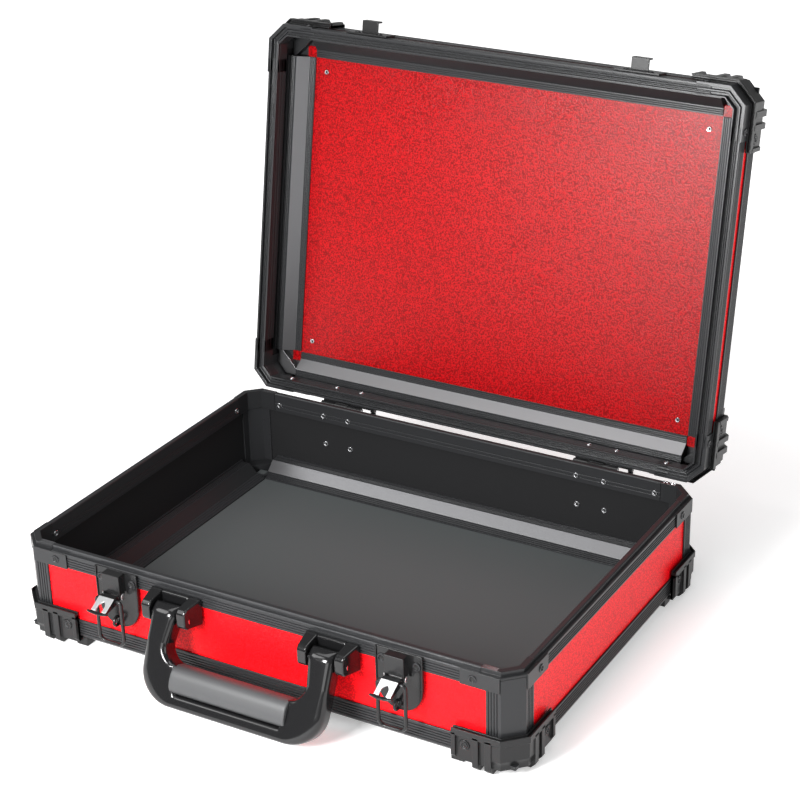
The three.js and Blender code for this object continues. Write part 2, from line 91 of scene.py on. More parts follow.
def outward(points, faces):
    """Turns every face round if the closed surface encloses a negative volume."""
    first = np.repeat([face[0] for face in faces], [len(face) for face in faces])
    here = np.concatenate(faces)
    after = np.concatenate([np.roll(face, -1) for face in faces])
    volume = np.einsum("ij,ij->", points[first], np.cross(points[here], points[after]))
    return faces if volume > 0 else [face[::-1] for face in faces]


def piece(name, parts, looks, body, replaces=(), bevel=0.0, smooth=False, segments=2):
    """One mesh from closed parts, each (points in case mm, faces, look index or one for each face)."""
    lid = body == "lid"
    verts, faces, index, count = [], [], [], 0
    for points, part_faces, look in parts:
        points = place(points)
        points = open_lid(points) if lid else points
        part_faces = outward(points, part_faces)
        verts.append(points)
        faces += [(np.array(face) + count).tolist() for face in part_faces]
        index += list(look) if hasattr(look, "__len__") else [look] * len(part_faces)
        count += len(points)
    mesh = bpy.data.meshes.new(name)
    mesh.from_pydata(np.concatenate(verts).tolist(), [], faces)
    for look in looks:
        mesh.materials.append(look)
    mesh.polygons.foreach_set("material_index", np.array(index, np.int32))
    mesh.polygons.foreach_set("use_smooth", np.full(len(faces), smooth))
    mesh.update()
    obj = bpy.data.objects.new(name, mesh)
    bpy.context.scene.collection.objects.link(obj)
    if bevel:
        edge = obj.modifiers.new("edges", "BEVEL")
        edge.width = bevel
        edge.segments = segments
        edge.limit_method = "ANGLE"
        edge.angle_limit = math.radians(35)
        edge.harden_normals = False
    if smooth:
        flat = obj.modifiers.new("creases", "EDGE_SPLIT")
        flat.split_angle = math.radians(40)
    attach(obj, body)
    if replaces:
        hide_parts(*replaces)
    return obj


# ---- surfaces -----------------------------------------------------------------------------------

def quads(rows, cols, close_rows=False, close_cols=False):
    """Faces of a grid of points, row by row, with its last row or column joined to its first."""
    i, j = np.meshgrid(np.arange(rows - (not close_rows)), np.arange(cols - (not close_cols)), indexing="ij")
    below, beside = (i + 1) % rows * cols, (j + 1) % cols
    return np.stack([i * cols + j, i * cols + beside, below + beside, below + j], -1).reshape(-1, 4).tolist()


def swept(rings):
    """Rings of points, one for each station, joined in order into a skin with flat ends."""
    rings = np.asarray(rings, float)
    rows, n = rings.shape[:2]
    ends = [np.arange(n)[::-1].tolist(), (np.arange(n) + (rows - 1) * n).tolist()]
    return rings.reshape(-1, 3), quads(rows, n, close_cols=True) + ends


def carried(profile, ends, axes):
    """A closed profile (a, b) carried straight from ends[0] to ends[1] along the third of axes."""
    flat = np.asarray(profile, float) @ np.stack(axes[:2])
    return swept(flat[None] + np.multiply.outer(np.array(ends, float), axes[2])[:, None])


AXES = np.eye(3)


def on_side(points, side):
    """A front-side solid (x along, y inward, z up) moved to side 0 front, 1 right, 2 back, 3 left."""
    half = D / 2 if side % 2 == 0 else W / 2
    x, y, z = points[:, 0], points[:, 1] - half, points[:, 2]
    c, s = [(1, 0), (0, 1), (-1, 0), (0, -1)][side]
    return np.stack([x * c - y * s, x * s + y * c, z], 1)


def to_corner(points, sx, sy):
    """(p, q, z), inward from the side and from the front, to one of the four corners."""
    return np.stack([sx * (W / 2 - points[:, 0]), sy * (D / 2 - points[:, 1]), points[:, 2]], 1)


def grooved(start, end, count, depth, toward, lip=0.35):
    """Points from start to end with evenly spaced flat-bottomed grooves cut by depth toward a side."""
    start, end, toward = np.array(start, float), np.array(end, float), np.array(toward, float)
    length = np.linalg.norm(end - start)
    middles = np.arange(1, count + 1) * length / (count + 1)
    along = middles[:, None] + lip * np.array([-1, -0.6, 0.6, 1])
    deep = np.tile([0, depth, depth, 0], count)
    cuts = start + np.outer(along.ravel(), (end - start) / length) + np.outer(deep, toward)
    return np.vstack([start, cuts, end]).tolist()


def lathe(profile, centre, axis, turns=20):
    """A profile (radius, height) turned about an axis, from one point on the axis to another."""
    axis = np.array(axis, float) / np.linalg.norm(axis)
    side = np.cross(axis, [0, 0, 1.0] if abs(axis[2]) < 0.9 else [1.0, 0, 0])
    side /= np.linalg.norm(side)
    angle = np.arange(turns) * 2 * np.pi / turns
    ring = np.outer(np.cos(angle), side) + np.outer(np.sin(angle), np.cross(axis, side))
    radius, height = np.array(profile, float).T[:, :, None, None]
    rings = np.array(centre, float) + radius * ring + height * axis
    points = np.concatenate([rings[0, :1], rings[1:-1].reshape(-1, 3), rings[-1, :1]])
    here, last = 1 + np.arange(turns), len(points) - 1
    after, top = np.roll(here, -1), last - 1 - turns
    low = np.stack([0 * here, after, here], 1).tolist()
    high = np.stack([here + top, after + top, 0 * here + last], 1).tolist()
    walls = np.array(quads(len(profile) - 2, turns, close_cols=True)) + 1
    return points, low + walls.tolist() + high


def around(profile, reach, sx, sy, base, up=1):
    """A section (inward, height) carried along one side, across the 45 degree face and along the next.

    The face starts the chamfer's length from the next side, plus 0.414 of the inward distance.
    """
    d, z = np.asarray(profile, float).T
    turn, far = CHAMFER + (math.sqrt(2) - 1) * d, np.full_like(d, reach)
    rings = np.stack([np.stack([far, turn, d, d]), np.stack([d, d, turn, far]), np.stack([z] * 4)], -1)
    points, faces = swept(rings)
    points[:, 2] = base + up * points[:, 2]
    return to_corner(points, sx, sy), faces


def wire(points, radius, sides=20):
    """A round wire carried along points in the x-z plane."""
    points = np.asarray(points, float)
    ahead = np.gradient(points, axis=0)
    ahead /= np.linalg.norm(ahead, axis=1)[:, None]
    across = np.stack([-ahead[:, 2], 0 * ahead[:, 0], ahead[:, 0]], 1)
    angle = np.arange(sides) * 2 * np.pi / sides
    ring = radius * (np.cos(angle)[None, :, None] * across[:, None, :]
                     + np.sin(angle)[None, :, None] * np.array([0, 1.0, 0]))
    rings = points[:, None, :] + ring
    return swept(rings)


# ---- materials ----------------------------------------------------------------------------------

def material(name, colour, rough, metal=0.0, grain=900.0, bump=0.02, stretch=(1, 1, 1),
             rough_spread=0.06, coat=0.0, gleam=0.5, shade=0.0, round_edges=0.0, pebble=0.0):
    """A procedural surface in Object coordinates: fine noise moves the roughness and the bump."""
    mat = bpy.data.materials.new(name)
    mat.use_nodes = True
    nodes, links = mat.node_tree.nodes, mat.node_tree.links
    shader = nodes["Principled BSDF"]
    shader.inputs["Base Color"].default_value = (*colour, 1)
    shader.inputs["Metallic"].default_value = metal
    shader.inputs["Coat Weight"].default_value = coat
    shader.inputs["Specular IOR Level"].default_value = gleam
    shader.inputs["Coat Roughness"].default_value = 0.08
    coords = nodes.new("ShaderNodeTexCoord")
    spread = nodes.new("ShaderNodeMapping")
    spread.inputs["Scale"].default_value = stretch
    links.new(coords.outputs["Object"], spread.inputs["Vector"])
    noise = nodes.new("ShaderNodeTexNoise")
    noise.inputs["Scale"].default_value = grain
    noise.inputs["Detail"].default_value = 3
    links.new(spread.outputs["Vector"], noise.inputs["Vector"])
    level = nodes.new("ShaderNodeMapRange")
    level.inputs["To Min"].default_value = max(rough - rough_spread, 0.02)
    level.inputs["To Max"].default_value = rough + rough_spread
    links.new(noise.outputs["Fac"], level.inputs["Value"])
    links.new(level.outputs["Result"], shader.inputs["Roughness"])
    height = noise.outputs["Fac"]
    if pebble:
        cells = nodes.new("ShaderNodeTexNoise")
        cells.inputs["Scale"].default_value = pebble
        cells.inputs["Detail"].default_value = 2
        links.new(coords.outputs["Object"], cells.inputs["Vector"])
        peaks = nodes.new("ShaderNodeMapRange")
        peaks.inputs["From Min"].default_value = 0.42
        peaks.inputs["From Max"].default_value = 0.6
        links.new(cells.outputs["Fac"], peaks.inputs["Value"])
        height = peaks.outputs["Result"]
        tint = nodes.new("ShaderNodeMix")
        tint.data_type = "RGBA"
        tint.inputs["A"].default_value = (*[c * (1 - shade) for c in colour], 1)
        tint.inputs["B"].default_value = (*[min(c * (1 + shade), 1) for c in colour], 1)
        links.new(peaks.outputs["Result"], tint.inputs["Factor"])
        links.new(tint.outputs["Result"], shader.inputs["Base Color"])
    dents = nodes.new("ShaderNodeBump")
    dents.inputs["Strength"].default_value = bump
    dents.inputs["Distance"].default_value = 0.0004
    links.new(height, dents.inputs["Height"])
    if round_edges:
        edges = nodes.new("ShaderNodeBevel")
        edges.samples = 4
        edges.inputs["Radius"].default_value = round_edges
        links.new(edges.outputs["Normal"], dents.inputs["Normal"])
    links.new(dents.outputs["Normal"], shader.inputs["Normal"])
    return mat


ANODISED = material("black_anodised", (0.022, 0.0225, 0.024), 0.3, 0.12, 1400, 0.05, (0.1, 1, 1), gleam=0.3)
ANODISED_CAST = material("black_cast", (0.019, 0.0194, 0.0205), 0.3, 0.12, 1400, 0.05, gleam=0.3,
                         round_edges=0.0006)
# lit and shaded copies of one brushed web: painted light in the two lighter ones, painted shade in the
# near-black one
WEB_PAINTED_LIGHT = material("brushed_web_painted_light", (0.2, 0.2, 0.205), 0.4, 0.75, 1400, 0.08, (0.05, 1, 1))
WEB_PAINTED_LOW_LIGHT = material("brushed_web_painted_low_light", (0.15, 0.15, 0.155), 0.36, 0.8, 1400, 0.08, (0.05, 1, 1))
WEB_PAINTED_SHADE = material("brushed_web_painted_shade", (0.016, 0.0165, 0.0175), 0.36, 0.0, 1400, 0.08, (1, 0.05, 1),
                    gleam=0.22)
RED = material("red_pebbled", (0.74, 0.005, 0.009), 0.3, 0.0, 1500, 0.14, pebble=900.0, shade=0.25, gleam=0.1)
# a darker, glossier copy of the red for the lid's top panel: its darker colour is painted shade, with a stronger
# speckle
RED_PAINTED_SHADE = material("red_sparkle_painted_shade", (0.275, 0.0011, 0.0026), 0.23, 0.0, 1500, 0.2, pebble=720.0,
                     shade=0.42, gleam=0.2)
LINER = material("wall_liner", (0.011, 0.011, 0.0117), 0.55, 0.0, 1500, 0.15, gleam=0.2)
FLOOR = material("floor_grey", (0.05, 0.0555, 0.0565), 0.62, 0.0, 1700, 0.2)
PLASTIC = material("black_satin_plastic", (0.013, 0.013, 0.0135), 0.33, 0.0, 1300, 0.12, gleam=0.27,
                   round_edges=0.0008)
GLOSS = material("gloss_black", (0.008, 0.008, 0.0085), 0.13, 0.0, 700, 0.01, rough_spread=0.03, gleam=0.4)
ENAMEL = material("black_enamel", (0.01, 0.01, 0.0105), 0.2, 0.0, 900, 0.03, gleam=0.3, round_edges=0.0003)
LEVER = material("dark_chrome", (0.62, 0.62, 0.63), 0.3, 0.95, 900, 0.0, rough_spread=0.01,
                 round_edges=0.0003)
GRIP = material("soft_grip", (0.045, 0.046, 0.048), 0.46, 0.0, 1500, 0.12)
STEEL = material("rivet_steel", (0.62, 0.62, 0.64), 0.25, 1.0, 1200, 0.03)
RIVET = material("black_rivet", (0.03, 0.03, 0.032), 0.25, 0.6, 1200, 0.03)
# near-black paint for the rivets' shallow bores: painted shade
BORE_PAINTED_SHADE = material("rivet_bore_painted_shade", (0.004, 0.004, 0.004), 0.7, 0.0, 900, 0.02)


def paint(name, mat):
    """The material of a CAD node that stays in view."""
    mesh = frame["nodes"][name].data
    mesh.materials.clear()
    mesh.materials.append(mat)


FINE = 0.00018    # metres, edge rounding of the extrusions
SIDES = ("front", "right", "back", "left")
CORNERS = {"front_right": (1, -1), "front_left": (-1, -1), "back_right": (1, 1), "back_left": (-1, 1)}
for name in frame["nodes"]:
    if "rim_cap" in name or name.startswith("lid_corner"):
        paint(name, ANODISED_CAST)
    elif "protector" in name:
        paint(name, PLASTIC)
    elif "wall" in name:
        paint(name, RED)
    elif name == "lid_top_panel":
        paint(name, RED_PAINTED_SHADE)
    elif name == "base_floor_panel":
        paint(name, FLOOR)
    elif name.startswith("hinge_pin") or name.startswith("handle_pin"):
        paint(name, STEEL)
    elif name.startswith("handle"):
        paint(name, GLOSS)
    elif name.startswith("strike"):
        paint(name, PLASTIC)
    elif name.startswith("latch") or name.startswith("hinge"):
        paint(name, ENAMEL)
    else:
        paint(name, ANODISED)


# ---- extrusions ---------------------------------------------------------------------------------

def side_run(side, end):
    """Half the length of a straight piece that stops short of the case's ends."""
    return (W / 2 if side % 2 == 0 else D / 2) - end


def side_piece(name, profile, side, end, body, node):
    """A fluted extrusion along one side, in place of its plain node."""
    run = side_run(side, end)
    points, faces = carried(profile, (-run, run), (AXES[1], AXES[2], AXES[0]))
    piece(name, [(on_side(points, side), faces, 0)], (ANODISED,), body, node, bevel=FINE)


base_rim = [(1.2, -13), (1.2, -2), (6.3, -2), (6.3, -14.3), (7.6, -14.3)]
base_rim += grooved((7.6, -13.2), (7.6, -3), 2, 0.35, (-1, 0))
base_rim += [(7.6, 2.8), (6.8, 3.6), (3.4, 3.6), (2.6, 2.8), (2.6, 0), (0.5, 0), (0, -0.5)]
base_rim += grooved((0, -1.2), (0, -12.6), 4, GROOVE, (1, 0), GROOVE_HALF) + [(0.3, -13)]
lid_rim = [(0.4, 0.3), (2, 0.3)] + grooved((2, 4.3), (8.6, 4.3), 3, 0.7, (0, 1), 0.6) + [(8.6, 0.3), (9.9, 0.3)]
lid_rim += grooved((9.9, 2), (9.9, 14.4), 2, 0.35, (-1, 0))
lid_rim += [(9.9, 15), (8.6, 15), (8.6, 6.2), (5.8, 6.2), (5.8, 9), (4.8, 9), (4.8, 6.2), (1.2, 6.2)]
lid_rim += [(1.2, 12.5), (0.3, 12.5)]
lid_rim += grooved((0, 12.1), (0, 1.0), 4, GROOVE, (1, 0), GROOVE_HALF)


def edge_profile(lip):
    """Edge frame section with flutes outside, and grooves along its ledge and its lip."""
    out = [(2.5, 0), (29.6, 0), (29.6, 1), (20, 1), (20, 3.7), (lip, 3.7)]
    out += grooved((lip, 4.7), (22.8, 4.7), 3, 0.35, (0, -1))
    start = len(out)
    out += [(14, 13.3)]
    out += grooved((13.6, 13.3), (7, 13.3), 3, 0.4, (0, -1))
    out += [(6.5, 13.3), (6.5, 15), (4.8, 15), (4.8, 4.7), (1.2, 4.7), (1.2, 17.5), (0.3, 17.5)]
    out += grooved((0, 17.1), (0, 2.7), 5, GROOVE, (1, 0), GROOVE_HALF)
    return out, start - 1


for side, word in enumerate(SIDES):
    side_piece(f"base_rim_flutes_{word}", base_rim, side, RIM_END, "case", [f"base_rim_{word}"])
    side_piece(f"lid_rim_flutes_{word}", lid_rim, side, RIM_END, "lid", [f"lid_rim_{word}"])

corner_plate = [(2.5, 2.5), (29.9, 2.5), (29.9, 26), (26, 26), (26, 29.9), (2.5, 29.9)]
gusset = [(31, 6.5), (31, 9), (9, 31), (6.5, 31), (6.5, 16.5), (16.5, 6.5)]
for body, node, lip in (("case", "base_edge_frame", LIP_BASE), ("lid", "lid_edge_frame", LIP_LID)):
    profile, web = edge_profile(lip)
    parts = []
    for side in range(4):
        run = side_run(side, EDGE_END)
        points, faces = carried(profile, (-run, run), (AXES[1], AXES[2], AXES[0]))
        # painted light and painted shade: the webs of the lid's back and left and the base's back get the
        # lighter copies of the brushed web, the others the near-black copy
        look = np.zeros(len(faces), int)
        look[web] = {("lid", 0): 2, ("case", 2): 3, ("lid", 2): 1, ("lid", 3): 3}.get((body, side), 2)
        parts.append((on_side(points, side), faces, look))
    for sx, sy in CORNERS.values():
        points, faces = carried(corner_plate, (0.1, 0.95), (AXES[0], AXES[1], AXES[2]))
        parts.append((to_corner(points, sx, sy), faces, 0))
        points, faces = carried(gusset, (1, 8), (AXES[0], AXES[1], AXES[2]))
        # painted light on the gusset at the lid's back left, painted shade on the other gussets
        parts.append((to_corner(points, sx, sy), faces, 3 if body == "lid" and (sx, sy) == (-1, 1) else 2))
    for part in parts:
        z = part[0][:, 2]
        part[0][:, 2] = BASE_LOW + z if body == "case" else LID_HIGH - z
    piece(f"{node}_flutes", parts, (ANODISED, WEB_PAINTED_LIGHT, WEB_PAINTED_SHADE, WEB_PAINTED_LOW_LIGHT), body, [node], bevel=FINE)

# bright grooved inserts where the tongue of each long rim meets its caps
insert = [(3.0, 3.0)] + grooved((3.0, 3.62), (7.2, 3.62), 5, 0.25, (0, -1), 0.25) + [(7.2, 3.0)]
parts = []
for side in (0, 2):
    for a, b in ((-211.5, -198.3), (198.3, 211.5)):
        points, faces = carried(insert, (a, b), (AXES[1], AXES[2], AXES[0]))
        parts.append((on_side(points, side), faces, 0))
piece("tongue_inserts", parts, (STEEL,), "case")

# corner posts: fluted legs either side of a plain 45 degree face
post = [(14, 0), (0, 14)] + grooved((0, 14.6), (0, 26.6), 4, GROOVE, (1, 0), GROOVE_HALF)
post += [(1.2, 27), (1.2, 15.5), (4.8, 15.5), (4.8, 24), (6, 24), (6, 16), (16, 6), (24, 6), (24, 4.8)]
post += [(15.5, 4.8), (15.5, 1.2), (27, 1.2)] + grooved((26.6, 0), (14.6, 0), 4, GROOVE, (0, 1), GROOVE_HALF)
for word, (sx, sy) in CORNERS.items():
    points, faces = carried(post, (BASE_LOW + 0.2, -2.3), (AXES[0], AXES[1], AXES[2]))
    piece(f"base_post_flutes_{word}", [(to_corner(points, sx, sy), faces, 0)], (ANODISED,), "case",
          [f"base_post_{word}"], bevel=FINE)

# lid corner caps: an outer skin, a ridged channel for the base's tongue and an inner lip
lid_cap = [(-1, 0.3), (2, 0.3), (2, 5.4), (4.1, 5.4), (4.5, 4.1), (6.1, 4.1), (6.5, 5.4), (8.6, 5.4)]
lid_cap += [(8.6, 0.3), (9.9, 0.3), (9.9, 3), (9.5, 3.4), (9.9, 3.8), (9.9, 15), (8.6, 15), (8.6, 6.2), (0, 6.2)]
lid_cap += [(0, 12.8), (-1, 12.8)]
for word, (sx, sy) in CORNERS.items():
    leg, leg_faces = carried(post, (7, LID_HIGH - 0.4), (AXES[0], AXES[1], AXES[2]))
    parts = [(*around(lid_cap, 44, sx, sy, 0), 0), (to_corner(leg, sx, sy), leg_faces, 0)]
    piece(f"lid_corner_ridges_{word}", parts, (ANODISED,), "lid",
          [f"lid_corner_{word}"], bevel=0.0003)

# corner protectors: a plate round the corner, a rolled collar, ribs that turn under the case, a
# rivet ring on each side and a sloped facet at the foot of the corner
collar = [(-0.3, 18.8), (-4.0, 18.8), (-GUARD_OUT, 19.6), (-GUARD_OUT, GUARD_TOP), (-3.7, GUARD_TOP)]
collar += [(-3.3, 22.8), (-1.7, 22.8), (-1.3, GUARD_TOP), (-0.3, GUARD_TOP)]
plate = [(-0.3, -SOLE), (-2.5, -SOLE), (-2.5, 22), (-0.3, 22)]
corner_face = [(-0.3, -SOLE), (-0.6, -SOLE), (-3.9, 5.5), (-3.9, 20), (-0.3, 20)]
RING = [(0, 0), (4.6, 0), (4.4, 0.8), (3.9, 1.1), (3.2, 0.8), (2.3, 0.1), (0, 0.1)]


def rib(a, b, deep, low):
    """An L-shaped bar, a to b from the next side, down the face and deep millimetres under the case."""
    shape = [(deep, low), (4 - GUARD_OUT, low), (-GUARD_OUT, low + 4), (-GUARD_OUT, 21.5), (-0.3, 21.5)]
    shape += [(-0.3, -0.3), (deep, -0.3)]
    return carried(shape, (a, b), (AXES[1], AXES[2], AXES[0]))


def protector_parts(sx, sy, base, up):
    """One corner protector: base is the case's outer face, and up points from it into the case."""
    parts = [(*around(section, reach, sx, sy, base, up), 0)
             for section, reach in ((plate, GUARD_REACH), (collar, GUARD_REACH), (corner_face, 20.5))]
    bars = [rib(20, 25.6, 18, -FOOT), rib(31, 36, 18, -FOOT), rib(50.5, GUARD_REACH, 6, -SOLE)]
    second_foot = [(3, -SOLE), (34, -SOLE), (34, -FOOT), (3, -FOOT)]
    bars.append(carried(second_foot, (47, 58), (AXES[1], AXES[2], AXES[0])))
    for swap in (False, True):
        for points, faces in bars:
            points = points * [1, 1, up] + [0, 0, base]
            points = points[:, [1, 0, 2]] if swap else points
            parts.append((to_corner(points, sx, sy), faces, 0))
        axis = np.array([sx, 0, 0] if swap else [0, sy, 0])
        spot = [W / 2 + 2.4, D / 2 - 43.5] if swap else [W / 2 - 43.5, D / 2 + 2.4]
        height = base + up * 11.5
        ring, ring_faces = lathe(RING, (sx * spot[0], sy * spot[1], height), axis, 24)
        parts.append((ring, ring_faces, 0))
    sole = [(58, 3), (3, 3), (3, 58), (34, 58), (34, 34), (58, 34)]
    points, faces = carried(sole, (base - up * SOLE, base - up * 0.3), (AXES[0], AXES[1], AXES[2]))
    return parts + [(to_corner(points, sx, sy), faces, 0)]


for word, (sx, sy) in CORNERS.items():
    for body, name, base, up in (("case", "base", BASE_LOW, 1), ("lid", "lid", LID_HIGH, -1)):
        piece(f"{name}_protector_ribbed_{word}", protector_parts(sx, sy, base, up), (PLASTIC,), body,
              [f"{name}_protector_{word}"], bevel=0.0009, segments=3)

# dark linings on the inside of the walls
for body, low, high in (("case", -72.0, -2.4), ("lid", 6.6, 33.6)):
    parts = []
    for side in range(4):
        run = side_run(side, 16.3)
        thin = [(4.52, low), (4.78, low), (4.78, high), (4.52, high)]
        points, faces = carried(thin, (-run, run), (AXES[1], AXES[2], AXES[0]))
        parts.append((on_side(points, side), faces, 0))
    piece(f"{body}_wall_lining", parts, (LINER,), body)

# ---- rivets -------------------------------------------------------------------------------------

DOME = [(0, -0.5), (3.9, -0.5), (4.0, 0.3), (3.5, 1.0), (2.6, 1.1), (2.0, 0.5), (1.7, 0.25), (0, 0.2)]
TUBE = [(0, -0.3), (2.7, -0.3), (2.7, 0.35), (2.3, 0.75), (1.7, 0.7), (1.35, 0.1), (1.3, 0.05), (0, 0.0)]


def rivets(name, spots, look, body, profile):
    """Turned rivets whose shallow bores are painted near-black as painted shade; each spot is (centre, axis,
    scale).
    """
    turns = 16
    parts = []
    for spot, axis, scale in spots:
        points, faces = lathe(np.array(profile) * scale, spot, axis, turns)
        bore = 2 * turns
        parts.append((points, faces, [0] * (len(faces) - bore) + [1] * bore))
    piece(name, parts, (look, BORE_PAINTED_SHADE), body, smooth=True)


def pair(sx, sy, p, q, out, z, scale, way=1):
    """A rivet on each wall that meets at a corner, p and q from the middles and out from the walls."""
    return [((sx * p, sy * (D / 2 + out), z), (0, way * sy, 0), scale),
            ((sx * (W / 2 + out), sy * q, z), (way * sx, 0, 0), scale)]


outer_base, inner_base, outer_lid, inner_lid = [], [], [], []
for sx, sy in CORNERS.values():
    outer_base += pair(sx, sy, 193, 134, 1.0, -6.5, 0.9) + pair(sx, sy, 186, 126, 2.5, BASE_LOW + 11.5, 0.8)
    inner_base += pair(sx, sy, 193, 134, -7.6, -8, 1, -1)
    outer_lid += pair(sx, sy, 193, 134, 1.0, 6.5, 0.9) + pair(sx, sy, 186, 126, 2.5, LID_HIGH - 11.5, 0.8)
    inner_lid += [((sx * 193, sy * (D / 2 - 9.9), 8.5), (0, -sy, 0), 0.9)]
    inner_lid += [((sx * 189, sy * 128, LID_HIGH - 3.4), (0, 0, -1), 0.8)]
for sx in (-1, 1):
    for dx in (-13.4, 13.4):
        for z in (-8.4, -38.3):
            inner_base += [((sx * HINGE_X + dx, D / 2 - 4.78 if z < -20 else D / 2 - 7.6, z), (0, -1, 0), 1)]
            outer_base += [((sx * HINGE_X + dx, D / 2 + 1.8, z), (0, 1, 0), 0.75)]
        inner_lid += [((sx * HINGE_X + dx, D / 2 - 9.9, 11), (0, -1, 0), 0.9)]
        outer_lid += [((sx * HINGE_X + dx, D / 2 + 1.8, 11), (0, 1, 0), 0.75)]
    for dx in (-15, 15):
        outer_base += [((sx * LATCH_X + dx, -D / 2 - 1.8, -9.5), (0, -1, 0), 1)]
        inner_base += [((sx * LATCH_X + dx, -D / 2 + 7.6, -9.5), (0, 1, 0), 1)]
    for dx in (-11, 11):
        outer_lid += [((sx * LATCH_X + dx, -D / 2 - 1.8, 8), (0, -1, 0), 0.7)]
        inner_lid += [((sx * LATCH_X + dx, -D / 2 + 9.9, 9), (0, 1, 0), 0.9)]
rivets("rivet_heads_base", outer_base, RIVET, "case", DOME)
rivets("rivet_ends_base", inner_base, STEEL, "case", TUBE)
rivets("rivet_heads_lid", outer_lid, RIVET, "lid", DOME)
rivets("rivet_ends_lid", inner_lid, STEEL, "lid", TUBE)

# ---- handle -------------------------------------------------------------------------------------

PIVOT = np.array([0, -D / 2 - 14, -18.5])
TILT = math.radians(24)


def hang(points):
    """A handle point (x, out of its plane, up from its pivot) tilted outward at rest."""
    c, s = math.cos(-TILT), math.sin(-TILT)
    turn = np.array([[1, 0, 0], [0, c, -s], [0, s, c]])
    return points @ turn.T + PIVOT


def round_rect(across, deep, width, thick, power=5.0, count=40):
    """A rounded rectangle |a/w|^n + |b/t|^n = 1 in the plane of two directions."""
    angle = np.arange(count) * 2 * np.pi / count
    c, s = np.cos(angle), np.sin(angle)
    r = (np.abs(c) ** power + np.abs(s) ** power) ** (-1 / power)
    return np.outer(r * c * width / 2, across) + np.outer(r * s * thick / 2, deep)


def handle_frame():
    """A rounded bar between an outer and an inner contour, from one arm's pivot down, round and up.

    The inner contour flares on a quarter circle toward the grip's end, so the bar is widest at the
    corners; every section is the same superellipse, as wide as the two contours are apart.
    """
    cap, arm, arc = np.linspace(0, np.pi / 2, 12), np.linspace(0.1, 1, 8), np.linspace(0, np.pi / 2, 16)
    low = arc[1:] / (np.pi / 2)
    outer = [np.stack([0 * cap + 83.8, 9.3 * np.cos(cap)], 1), np.stack([0 * arm + 83.8, -21 * arm], 1),
             np.stack([0 * arc + 83.8, -21 - 21 * np.sin(arc / 2) ** 2 * 2], 1),
             np.stack([54 + 29.8 * np.cos(arc[1:]), -42 - 27.6 * np.sin(arc[1:])], 1)]
    inner = [np.stack([0 * cap + 61.2, 9.3 * np.cos(cap)], 1), np.stack([61.2 + 3.3 * arm, -21 * arm], 1),
             np.stack([50 + 14.5 * np.cos(arc), -21 - 14.5 * np.sin(arc)], 1),
             np.stack([50 - 3 * low, -35.5 - 22.5 * low ** 2 * (3 - 2 * low)], 1)]
    run = np.linspace(45, 0, 8)
    outer = np.concatenate(outer + [np.stack([run, 0 * run - 69.6], 1)])
    inner = np.concatenate(inner + [np.stack([run, 0 * run - 58], 1)])
    flip = np.array([-1, 1])
    outer, inner = (np.concatenate([line, line[-2::-1] * flip]) for line in (outer, inner))
    thick = np.full(len(outer), 18.8)
    thick[:12] = 2 * np.sqrt(np.maximum(9.4 ** 2 - (9.3 * np.cos(cap)) ** 2, 0.04))
    thick[-12:] = thick[11::-1]
    angle = np.arange(48) * 2 * np.pi / 48
    c, d = np.cos(angle), np.sin(angle)
    size = (np.abs(c) ** 4 + np.abs(d) ** 4) ** -0.25
    middle, half = (outer + inner) / 2, (outer - inner) / 2
    across = middle[:, None] + half[:, None] * (size * c)[None, :, None]
    rings = np.stack([across[..., 0], (size * d) * thick[:, None] / 2, across[..., 1]], -1)
    points, faces = swept(rings)
    return hang(points), faces


def grip_sleeve():
    """A straight sleeve with a squarish oval section and small round edges at its ends."""
    edge = np.linspace(0, np.pi / 2, 6)
    inset = 1.2 * (1 - np.cos(edge))
    x = np.concatenate([inset - 53.5, np.linspace(-51, 51, 8), 53.5 - inset[::-1]])
    size = np.concatenate([11 + 1.2 * np.sin(edge), np.full(8, 12.2), 11 + 1.2 * np.sin(edge[::-1])])
    ring = round_rect(np.array([0, 1.0, 0]), np.array([0, 0, 1.0]), 2.0, 1.9, 2.8, 56)
    rings = ring[None] * size[:, None, None] + np.stack([x, 0 * x, 0 * x - 46.5], 1)[:, None, :]
    points, faces = swept(rings)
    return hang(points), faces


piece("handle_bar", [(*handle_frame(), 0)], (GLOSS,), "handle", ["handle_frame"], smooth=True)
piece("grip_sleeve", [(*grip_sleeve(), 0)], (GRIP,), "handle", ["handle_grip"], smooth=True)


def bracket_parts(x):
    """Two rounded cheeks and a back plate that hold the top of a handle arm."""
    turn = np.linspace(0, np.pi / 2, 7)
    upper = np.stack([-15.5 - 5.3 * np.sin(turn), -12.5 + 5.2 * np.cos(turn)], 1)
    lower = np.stack([-15.5 - 5.3 * np.cos(turn), -20.2 - 5.2 * np.sin(turn)], 1)
    nose = np.vstack([[(-0.3, -5), (-14, -7)], upper, lower, [(-0.3, -28)]])
    back = [(-0.3, -5), (-3.8, -5.6), (-3.8, -27.5), (-0.3, -28)]
    parts = []
    for a, b in ((-22.5, -12.6), (12.6, 22.5)):
        points, faces = carried(nose, (x + a, x + b), (AXES[1], AXES[2], AXES[0]))
        # the outer face leans out toward the wall
        outer_face = np.abs(points[:, 0] - x) > 20
        points[:, 0] += outer_face * np.sign(a) * (1.4 + 0.16 * points[:, 1])
        parts.append((points - np.array([0, D / 2, 0]), faces, 0))
    points, faces = carried(back, (x - 13, x + 13), (AXES[1], AXES[2], AXES[0]))
    parts.append((points - np.array([0, D / 2, 0]), faces, 0))
    return parts


for word, s in (("left", -1), ("right", 1)):
    piece(f"bracket_cheeks_{word}", bracket_parts(s * BRACKET_X), (GLOSS,), "case",
          [f"handle_bracket_{word}"], bevel=0.0012, segments=4)

# ---- latches ------------------------------------------------------------------------------------


